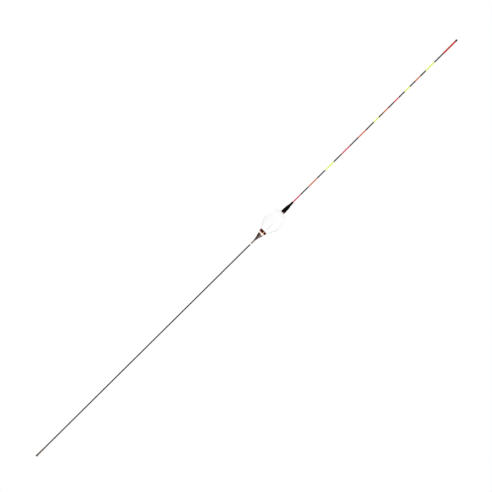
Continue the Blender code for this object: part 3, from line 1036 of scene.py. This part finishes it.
class FLOAT_OT_tail(bpy.types.Operator):
    """Make the tail rod with its painted marks"""

    bl_idname = "fishing_float.tail"
    bl_label = "Tail and marks"

    def execute(self, context):
        settings = context.scene.float_tail
        low, high = span("tail_rod")
        foot = span("tail_ferrule")[1]
        crown = span("sight_sleeve")[0]
        root = ring_radii("tail_rod", low)[1]
        top = radius_of("tail_rod")
        colours = ("black", "yellow", "orange", "pink")
        paints = [
            enamel("black_enamel", settings.black, (0.8, 1.3), (0.32, 0.46), 0.0, 0.2),
            bright_enamel("yellow_paint", settings.yellow),
            bright_enamel("orange_paint", settings.orange),
            bright_enamel("pink_paint", settings.pink),
            glass_fibre((0.62, 0.66, 0.55)),
        ]

        # Ends of the marks from the ferrule up, stretched to fill the painted length.
        lengths = np.array([length for _, length in MARKS])[::-1]
        names = [name for name, _ in MARKS][::-1]
        reached = np.concatenate([[0.0], np.cumsum(lengths)]) / lengths.sum()
        ends = foot + reached * (crown - foot)
        soft = 0.05 * MM
        offsets = np.array([0.0, 0.25, 0.6, 1.0])
        lift = np.array([0.0, 0.66, 0.92, 1.0])
        rise = ends[:-1, None] + soft * offsets
        fall = ends[1:, None] - soft * offsets[::-1]
        height = np.concatenate([rise, fall], 1)
        most = 1.6 * settings.paint
        coats = np.where(np.array(names) == "black", most, settings.paint)[:, None]
        radius = root + (top - root) * (height - foot) / (crown - foot)
        radius = radius + coats * np.concatenate([lift, lift[::-1]]) - most
        band = np.stack([radius.ravel(), height.ravel()], 1)

        # Bare fibre below every coat, at both ends.
        root, top = root - most, top - most
        below = [(0.0, low), (root - soft, low), (root, low + soft)]
        above = [(top, high - soft), (top - soft, high), (0.0, high)]
        outline = np.concatenate([below, band, above])

        marks = np.repeat([colours.index(name) for name in names], height.shape[1])
        rows = np.full(len(outline) - 1, len(colours))
        rows[len(below):len(below) + len(marks)] = marks
        tail = turned("tail_painted", outline, paints, sides=THIN_SIDES, face_rows=rows)
        settle(tail, TAIL, "painted_tail", "tail_rod")
        return {"FINISHED"}


class FLOAT_OT_sight(bpy.types.Operator):
    """Make the red sight sleeve and the bead on the tip"""

    bl_idname = "fishing_float.sight"
    bl_label = "Sight sleeve and bead"

    def execute(self, context):
        settings = context.scene.float_tail
        red = bright_enamel("red_sight", settings.red)
        edges = (0.1 * MM, 0.05 * MM, 0.0)
        tube = ring("sight_sleeve_red", "sight_sleeve", red, edges, sides=SMALL_SIDES)
        settle(tube, TAIL, "fluoro_red", "sight_sleeve")

        low, high = span("tip_bead")
        seat = span("sight_sleeve")[1] + GLUE_GAP
        outer = radius_of("tip_bead")
        peg = ring_radii("tip_bead", low)[1]
        waist = seat + 1.0 * MM
        lead, root_edge, base_edge = 0.04 * MM, 0.03 * MM, 0.2 * MM
        turn = np.linspace(0.0, 0.5 * math.pi, 24)
        crown = np.stack([outer * np.cos(turn), waist + (high - waist) * np.sin(turn)], 1)
        crown[-1, 0] = 0.0
        start = [
            (0.0, low, 0.0), (peg, low, lead), (peg, seat, root_edge),
            (outer, seat, base_edge), (outer, waist, 0.0),
        ]
        outline = np.concatenate([filleted(start)[:-1], crown])
        material = bpy.data.materials["moulded_black"]
        bead = turned("tip_bead_moulded", outline, [material], sides=SMALL_SIDES)
        settle(bead, TAIL, "moulded_black", "tip_bead")
        return {"FINISHED"}


def lit(owner, kind, output, matt, shiny):
    """Make a material or a world glow: plain white to the camera, shiny in reflections."""
    tree = owner.node_tree
    path = node(tree, "ShaderNodeLightPath")
    light = blended(tree, path.outputs["Is Glossy Ray"], matt, shiny)
    glow = node(tree, kind)
    glow.inputs["Color"].default_value = (1.0, 1.0, 1.0, 1.0)
    light = blended(tree, path.outputs["Is Camera Ray"], light, 1.0)
    tree.links.new(light, glow.inputs["Strength"])
    tree.links.new(glow.outputs[0], node(tree, output).inputs["Surface"])


class FLOAT_OT_stage(bpy.types.Operator):
    """Add the floor, the studio lights and the camera"""

    bl_idname = "fishing_float.stage"
    bl_label = "Stage"

    def make_floor(self, settings):
        """Round pale floor just under the foot; its last two rings turn it under."""
        turn = 2.0 * math.pi * np.arange(128) / 128
        rings = np.array([0.0, 0.05, 0.2, 0.5, 1.0, 1.0, 0.0]) * settings.floor_radius
        level = np.array([0.0, 0.0, 0.0, 0.0, 0.0, -5.0, -5.0]) * MM - 0.1 * MM
        grid = np.stack([
            rings[:, None] * np.cos(turn), rings[:, None] * np.sin(turn),
            level[:, None] + 0 * turn], -1)
        material = bpy.data.materials.new("pale_floor")
        material.use_nodes = True
        material.node_tree.nodes.clear()
        lit(material, "ShaderNodeEmission", "ShaderNodeOutputMaterial",
            settings.floor_light, settings.floor_shine)
        material.cycles.emission_sampling = "NONE"
        floor = mesh_from_grid("floor", grid[::-1], False, [material])

    def make_world(self, settings):
        """White room, plain white to the camera.

        Matt surfaces get an even light, a little stronger from the front, and
        reflections show dim walls under a bright ceiling and a white screen behind.
        Each range runs between two values of a direction's Y or Z.
        """
        world = bpy.data.worlds.new("white_room")
        world.use_nodes = True
        tree = world.node_tree
        tree.nodes.clear()
        coordinates = node(tree, "ShaderNodeTexCoord")
        apart = node(tree, "ShaderNodeSeparateXYZ")
        tree.links.new(coordinates.outputs["Generated"], apart.inputs[0])
        matt = remapped(tree, apart.outputs["Y"], settings.front, settings.back, -1.0, 1.0)
        walls, ceiling = settings.walls, settings.ceiling
        upward = remapped(tree, apart.outputs["Z"], walls, ceiling, 0.15, 0.5)
        behind = remapped(tree, apart.outputs["Y"], 0.0, 1.0, 0.3, 0.8)
        shiny = blended(tree, behind, upward, 1.0)
        lit(world, "ShaderNodeBackground", "ShaderNodeOutputWorld", matt, shiny)
        world.cycles.sampling_method = "NONE"
        bpy.context.scene.world = world

    def add_panel(self, name, direction, distance, size, radiance, aim):
        """Rectangular light that only shows in reflections.

        Its power is pi * area * radiance, and its direction (azimuth, elevation) in degrees.
        """
        data = bpy.data.lights.new(name, "AREA")
        data.shape = "RECTANGLE"
        data.size, data.size_y = size
        data.energy = math.pi * size[0] * size[1] * radiance
        lamp = bpy.data.objects.new(name, data)
        bpy.context.collection.objects.link(lamp)
        azimuth, elevation = (math.radians(angle) for angle in direction)
        out = Vector((
            math.sin(azimuth) * math.cos(elevation),
            -math.cos(azimuth) * math.cos(elevation),
            math.sin(elevation),
        ))
        lamp.location = aim + out * distance
        lamp.rotation_euler = out.to_track_quat("Z", "Y").to_euler()
        lamp.visible_camera = False
        lamp.visible_diffuse = False

    def make_lights(self, settings):
        """A key light and a low one on the right, and two dim panels behind."""
        aim = Vector((0.0, 0.0, settings.along))
        # Name, direction, distance, width and height, radiance.
        self.add_panel("key_panel", (30.0, 0.0), 1.5, (0.42, 0.6), 24.0, aim)
        self.add_panel("low_panel", (48.0, -30.0), 0.38, (0.13, 0.28), 19.0, aim)
        self.add_panel("back_left_panel", (-120.0, 15.0), 1.6, (1.0, 1.2), 0.8, aim)
        self.add_panel("back_right_panel", (130.0, 15.0), 1.6, (0.8, 1.2), 0.8, aim)

    def make_camera(self, settings):
        """Long lens looking along +Y, rolled so that the float leans in the picture."""
        data = bpy.data.cameras.new("camera")
        data.lens = settings.lens
        distance = settings.field * settings.lens / data.sensor_width
        data.clip_start, data.clip_end = 0.1, 20.0
        camera = bpy.data.objects.new("camera", data)
        bpy.context.collection.objects.link(camera)
        # Columns are the camera's right, up and backward axes in the world.
        tilt = math.radians(90.0) - settings.lean
        right = Vector((math.cos(tilt), 0.0, math.sin(tilt)))
        up = Vector((-math.sin(tilt), 0.0, math.cos(tilt)))
        back = Vector((0.0, -1.0, 0.0))
        place = Vector((-settings.across, -distance, settings.along))
        turn = Matrix((right, up, back)).transposed().to_4x4()
        camera.matrix_world = Matrix.Translation(place) @ turn
        bpy.context.scene.camera = camera

    def execute(self, context):
        settings = context.scene.float_stage
        self.make_floor(settings)
        self.make_world(settings)
        self.make_lights(settings)
        self.make_camera(settings)
        context.scene.view_settings.view_transform = "Standard"
        context.scene.view_settings.look = "None"
        return {"FINISHED"}


class FLOAT_PT_panel(bpy.types.Panel):
    """Settings and operators of the float in the sidebar"""

    bl_label = "Fishing Float"
    bl_idname = "FLOAT_PT_panel"
    bl_space_type = "VIEW_3D"
    bl_region_type = "UI"
    bl_category = "Float"

    def draw(self, context):
        for settings in SETTINGS:
            group_of = getattr(context.scene, settings)
            box = self.layout.box()
            for key in group_of.__annotations__:
                box.prop(group_of, key)
        for operator in OPERATORS:
            self.layout.operator(operator.bl_idname)


SETTINGS = {
    "float_body": BodySettings,
    "float_foot": FootSettings,
    "float_tail": TailSettings,
    "float_stage": StageSettings,
}
OPERATORS = (
    FLOAT_OT_body,
    FLOAT_OT_collars,
    FLOAT_OT_cone,
    FLOAT_OT_bindings,
    FLOAT_OT_foot,
    FLOAT_OT_socket,
    FLOAT_OT_ferrule,
    FLOAT_OT_tail,
    FLOAT_OT_sight,
    FLOAT_OT_stage,
)


def register():
    """Register the settings, the operators and the panel."""
    for name, settings in SETTINGS.items():
        bpy.utils.register_class(settings)
        setattr(bpy.types.Scene, name, bpy.props.PointerProperty(type=settings))
    for item in (*OPERATORS, FLOAT_PT_panel):
        bpy.utils.register_class(item)


def unregister():
    """Undo register, in the opposite order."""
    for item in (FLOAT_PT_panel, *reversed(OPERATORS)):
        bpy.utils.unregister_class(item)
    for name, settings in reversed(SETTINGS.items()):
        delattr(bpy.types.Scene, name)
        bpy.utils.unregister_class(settings)


def main():
    """Make every piece and the stage."""
    register()
    make_effect_groups()
    bpy.ops.fishing_float.body()
    bpy.ops.fishing_float.collars()
    bpy.ops.fishing_float.cone()
    bpy.ops.fishing_float.bindings()
    bpy.ops.fishing_float.foot()
    bpy.ops.fishing_float.socket()
    bpy.ops.fishing_float.ferrule()
    bpy.ops.fishing_float.tail()
    bpy.ops.fishing_float.sight()
    bpy.ops.fishing_float.stage()


if __name__ == "__main__":
    main()
